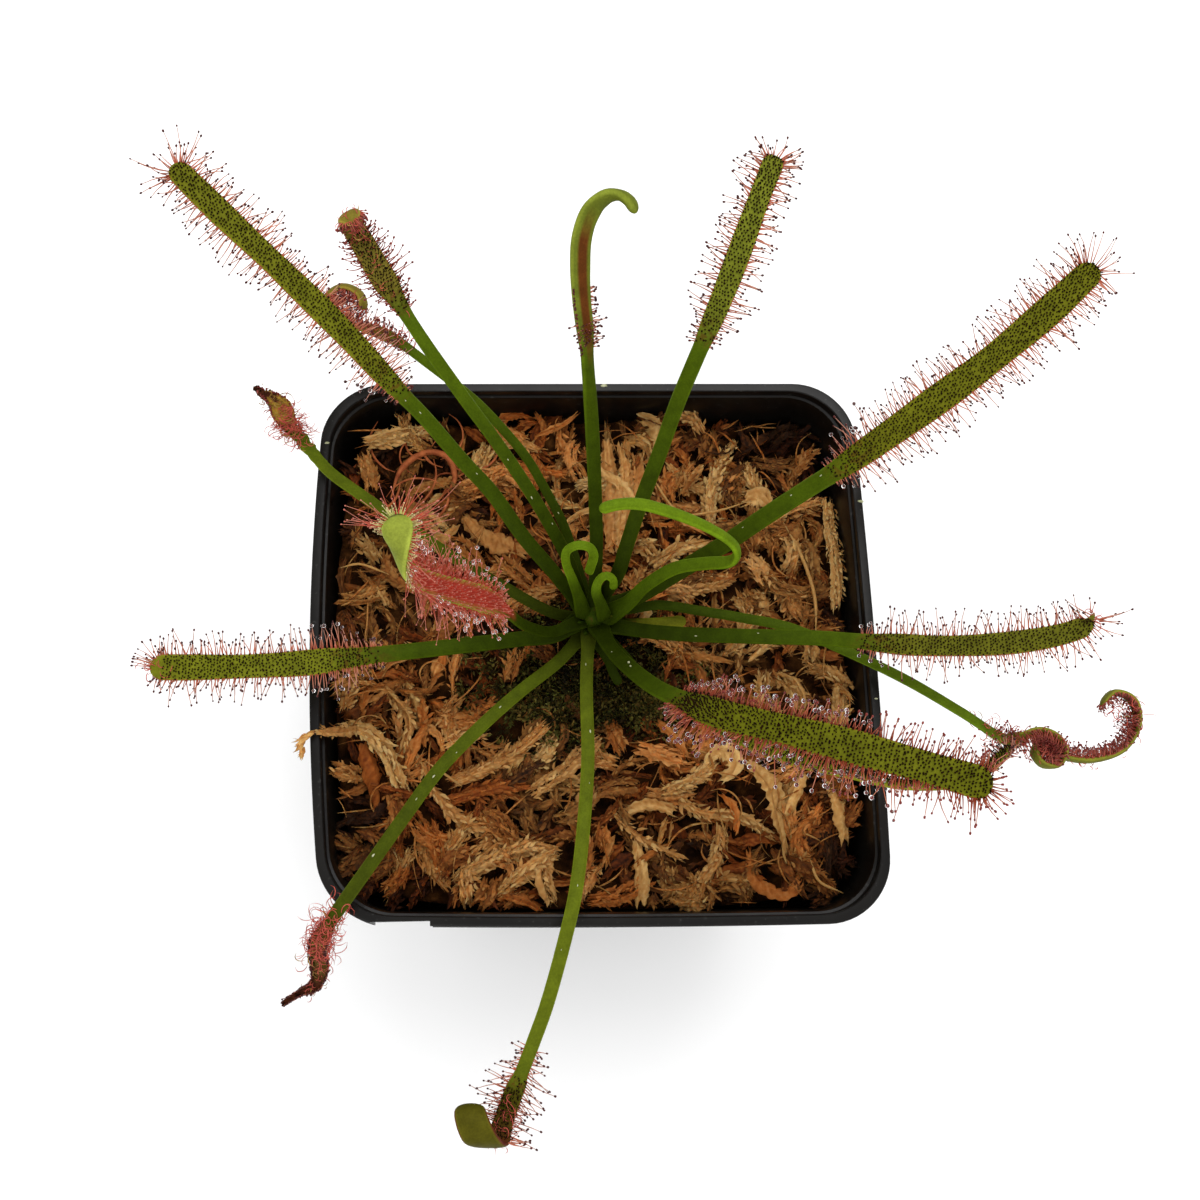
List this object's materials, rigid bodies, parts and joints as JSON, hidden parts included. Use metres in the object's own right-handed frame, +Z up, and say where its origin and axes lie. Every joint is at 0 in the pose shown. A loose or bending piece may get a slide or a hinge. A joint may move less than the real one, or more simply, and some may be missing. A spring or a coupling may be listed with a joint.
{
  "type": "potted cape sundew",
  "caption": "Rosette of long narrow sticky leaves, some curled or withered, growing from sphagnum moss in a thin square black nursery pot.",
  "frame": {"origin": "centre of the pot's flat underside", "axes": "+Z up; +X to the right and +Y to the back as seen from above in the picture, along the sides of the square pot"},
  "size_m": [0.1402, 0.1249, 0.1247],
  "materials": {
    "pot_plastic": "satin",
    "dry_sphagnum": "matte",
    "live_moss": "matte",
    "leaf_green": "satin",
    "young_leaf_green": "satin",
    "stem_brown": "matte",
    "dead_leaf_rust": "matte"
  },
  "bodies": {
    "root": {"pot": "pot_plastic", "moss_bed": "dry_sphagnum", "stem_and_roots": "stem_brown", "green_moss_cushion": "live_moss", "leaf_back": "leaf_green", "leaf_back_hooked": "leaf_green", "leaf_back_left_coiled": "leaf_green", "leaf_back_left_long": "leaf_green", "leaf_back_left_rolled_tip": "leaf_green", "leaf_back_right": "leaf_green", "leaf_front_left_withered": "leaf_green", "leaf_front_right_raised": "leaf_green", "leaf_front_right_thin": "leaf_green", "leaf_front_rolled_tip": "leaf_green", "leaf_left": "leaf_green", "leaf_left_withered": "leaf_green", "leaf_raised": "leaf_green", "leaf_right": "leaf_green", "leaf_right_curled": "leaf_green", "petiole_stub_front": "leaf_green", "petiole_stub_right": "leaf_green", "leaf_young_arched": "young_leaf_green", "crozier_left": "young_leaf_green", "crozier_centre": "young_leaf_green", "dead_leaf": "dead_leaf_rust", "moss_strand_back": "dry_sphagnum", "moss_strand_back_left": "dry_sphagnum", "moss_strand_right": "dry_sphagnum", "moss_strand_front_right": "dry_sphagnum", "moss_strand_front": "dry_sphagnum", "moss_strand_front_left": "dry_sphagnum", "moss_strand_left": "dry_sphagnum", "moss_strand_over_rim": "dry_sphagnum"}
  },
  "joints": []
}
